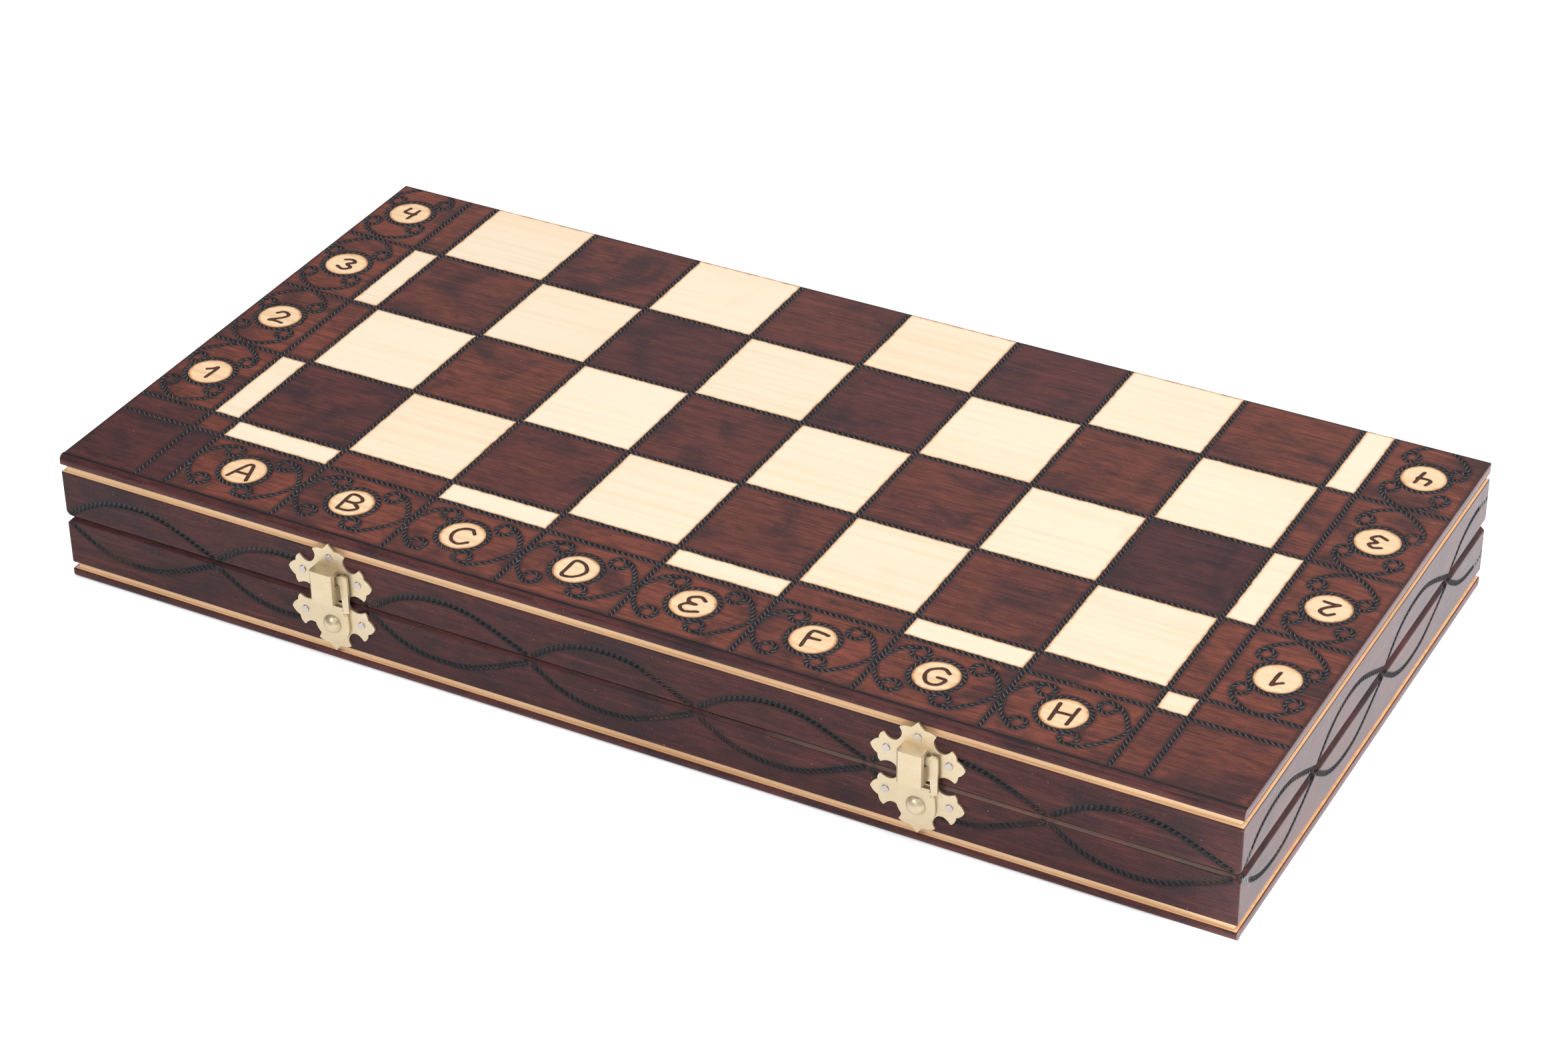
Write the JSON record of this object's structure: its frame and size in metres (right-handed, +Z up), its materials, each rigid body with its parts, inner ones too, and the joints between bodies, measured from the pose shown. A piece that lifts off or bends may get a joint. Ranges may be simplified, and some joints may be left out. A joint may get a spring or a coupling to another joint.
{
  "type": "folding chess set",
  "caption": "Folding wooden chess box: hinged halves whose outer faces form the board, brass swing latches, chess pieces laid in racks inside.",
  "frame": {"origin": "centre of the underside of the closed box, where it rests", "axes": "+Z up, +X along the long side with the latch side at -Y, +Y towards the hinges"},
  "size_m": [0.48, 0.2502, 0.055],
  "materials": {
    "playing_panel": "satin lacquer over burnt and stained squares",
    "rail_wood": "satin lacquer over dark stain",
    "felt": "matt felt",
    "rack_wood": "sanded bare wood",
    "brass": "pale brass plate, soft polish",
    "steel": "zinc plated",
    "white_piece": "satin lacquer",
    "black_piece": "satin lacquer over dark stain"
  },
  "bodies": {
    "base": {"base_panel": "playing_panel", "base_front_rail": "rail_wood", "base_back_rail": "rail_wood", "base_left_rail": "rail_wood", "base_right_rail": "rail_wood", "base_felt": "felt", "base_rack_near": "rack_wood", "base_rack_far": "rack_wood", "base_rack_pawns": "rack_wood", "left_hinge_lower_leaf": "brass", "left_hinge_pin": "steel", "right_hinge_lower_leaf": "brass", "right_hinge_pin": "steel", "hinge_screws_lower": "brass", "left_lever_plate": "brass", "left_latch_rivet": "brass", "right_lever_plate": "brass", "right_latch_rivet": "brass", "lever_plate_nails": "steel", "white_queens_rook": "white_piece", "white_queens_knight": "white_piece", "white_queens_bishop": "white_piece", "white_queen": "white_piece", "white_king": "white_piece", "white_kings_bishop": "white_piece", "white_kings_knight": "white_piece", "white_kings_rook": "white_piece", "white_pawns": "white_piece", "white_base_pads": "felt"},
    "lid": {"lid_panel": "playing_panel", "lid_front_rail": "rail_wood", "lid_back_rail": "rail_wood", "lid_left_rail": "rail_wood", "lid_right_rail": "rail_wood", "lid_felt": "felt", "lid_rack_near": "rack_wood", "lid_rack_far": "rack_wood", "lid_rack_pawns": "rack_wood", "left_hinge_upper_leaf": "brass", "right_hinge_upper_leaf": "brass", "hinge_screws_upper": "brass", "left_catch_plate": "brass", "right_catch_plate": "brass", "catch_plate_nails": "steel", "black_queens_rook": "black_piece", "black_queens_knight": "black_piece", "black_queens_bishop": "black_piece", "black_queen": "black_piece", "black_king": "black_piece", "black_kings_bishop": "black_piece", "black_kings_knight": "black_piece", "black_kings_rook": "black_piece", "black_pawns": "black_piece", "black_base_pads": "felt"},
    "left_lever": {"left_latch_lever": "brass"},
    "right_lever": {"right_latch_lever": "brass"}
  },
  "joints": [
    {"name": "lid_hinge", "type": "hinge", "parent": "base", "child": "lid", "pos_m": [0, 0.12065, 0.0275], "axis": [-1, 0, 0], "range_deg": [0, 180]},
    {"name": "left_latch_pivot", "type": "hinge", "parent": "base", "child": "left_lever", "pos_m": [-0.119, -0.1212, 0.0175], "axis": [0, 1, 0], "range_deg": [0, 90]},
    {"name": "right_latch_pivot", "type": "hinge", "parent": "base", "child": "right_lever", "pos_m": [0.121, -0.1212, 0.0175], "axis": [0, 1, 0], "range_deg": [0, 90]}
  ]
}
